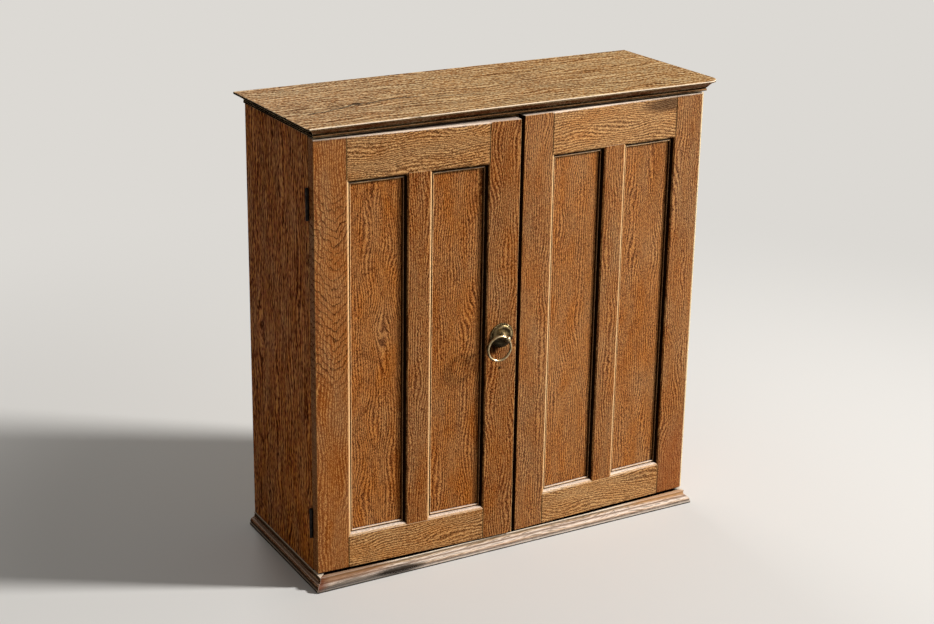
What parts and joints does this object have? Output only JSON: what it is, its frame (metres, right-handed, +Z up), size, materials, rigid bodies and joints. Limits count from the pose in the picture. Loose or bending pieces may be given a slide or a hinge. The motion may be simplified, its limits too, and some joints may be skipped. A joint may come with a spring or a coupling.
{
  "type": "tool cabinet with doors",
  "caption": "Low oak cupboard on a moulded plinth, with moulded frame-and-panel doors on butt hinges, a ring pull and shelves behind.",
  "frame": {"origin": "on the floor, under the centre of the whole cupboard's width and depth", "axes": "+Z up, +X to the right as the doors are faced, +Y towards the cupboard's back"},
  "size_m": [0.747, 0.298, 0.762],
  "materials": {
    "oak_top": "waxed oak, bleached and worn",
    "oak_sides": "waxed oak, worn",
    "oak_plinth": "oak, bleached and stained",
    "oak_panels": "waxed oak, worn",
    "oak_doors": "waxed oak, worn",
    "oak_inside": "dry unfinished oak",
    "brass": "aged and tarnished",
    "steel": "dull",
    "hinge_steel": "pressed sheet, blackened by age"
  },
  "bodies": {
    "cabinet": {"back_board_1": "oak_inside", "back_board_2": "oak_inside", "back_board_3": "oak_inside", "back_board_4": "oak_inside", "back_board_5": "oak_inside", "back_board_6": "oak_inside", "back_top_rail": "oak_inside", "bottom_board": "oak_inside", "front_top_rail": "oak_inside", "left_lower_hinge_carcase_leaf": "hinge_steel", "left_lower_hinge_pin": "hinge_steel", "left_side": "oak_sides", "left_upper_hinge_carcase_leaf": "hinge_steel", "left_upper_hinge_pin": "hinge_steel", "lower_left_bearer": "oak_inside", "lower_right_bearer": "oak_inside", "lower_shelf": "oak_inside", "plinth_back": "oak_plinth", "plinth_corner_blocks": "oak_plinth", "plinth_front": "oak_plinth", "plinth_left": "oak_plinth", "plinth_right": "oak_plinth", "right_lower_hinge_carcase_leaf": "hinge_steel", "right_lower_hinge_pin": "hinge_steel", "right_side": "oak_sides", "right_upper_hinge_carcase_leaf": "hinge_steel", "right_upper_hinge_pin": "hinge_steel", "top_board": "oak_top", "upper_left_bearer": "oak_inside", "upper_right_bearer": "oak_inside", "upper_shelf": "oak_inside"},
    "left_door": {"left_hinge_stile": "oak_doors", "left_meeting_stile": "oak_doors", "left_top_rail": "oak_doors", "left_bottom_rail": "oak_doors", "left_muntin": "oak_doors", "left_outer_panel": "oak_panels", "left_inner_panel": "oak_panels", "left_upper_hinge_door_leaf": "hinge_steel", "left_lower_hinge_door_leaf": "hinge_steel", "pull_rose": "brass", "pull_spindle": "brass", "pull_nut": "steel"},
    "right_door": {"right_hinge_stile": "oak_doors", "right_meeting_stile": "oak_doors", "right_top_rail": "oak_doors", "right_bottom_rail": "oak_doors", "right_muntin": "oak_doors", "right_outer_panel": "oak_panels", "right_inner_panel": "oak_panels", "right_upper_hinge_door_leaf": "hinge_steel", "right_lower_hinge_door_leaf": "hinge_steel"},
    "pull_ring": {"pull_ring": "brass"}
  },
  "joints": [
    {"name": "left_door_hinge", "type": "hinge", "parent": "cabinet", "child": "left_door", "pos_m": [-0.3568, -0.08966, 0.38245], "axis": [0, 0, -1], "range_deg": [-2.4, 177.6]},
    {"name": "right_door_hinge", "type": "hinge", "parent": "cabinet", "child": "right_door", "pos_m": [0.3568, -0.08966, 0.38245], "axis": [0, 0, 1], "range_deg": [-1.9, 178.1]},
    {"name": "ring_swing", "type": "hinge", "parent": "left_door", "child": "pull_ring", "pos_m": [-0.03222, -0.1436, 0.38245], "axis": [-0.7065, 0.0296, 0.7071], "range_deg": [-25, 200]}
  ]
}
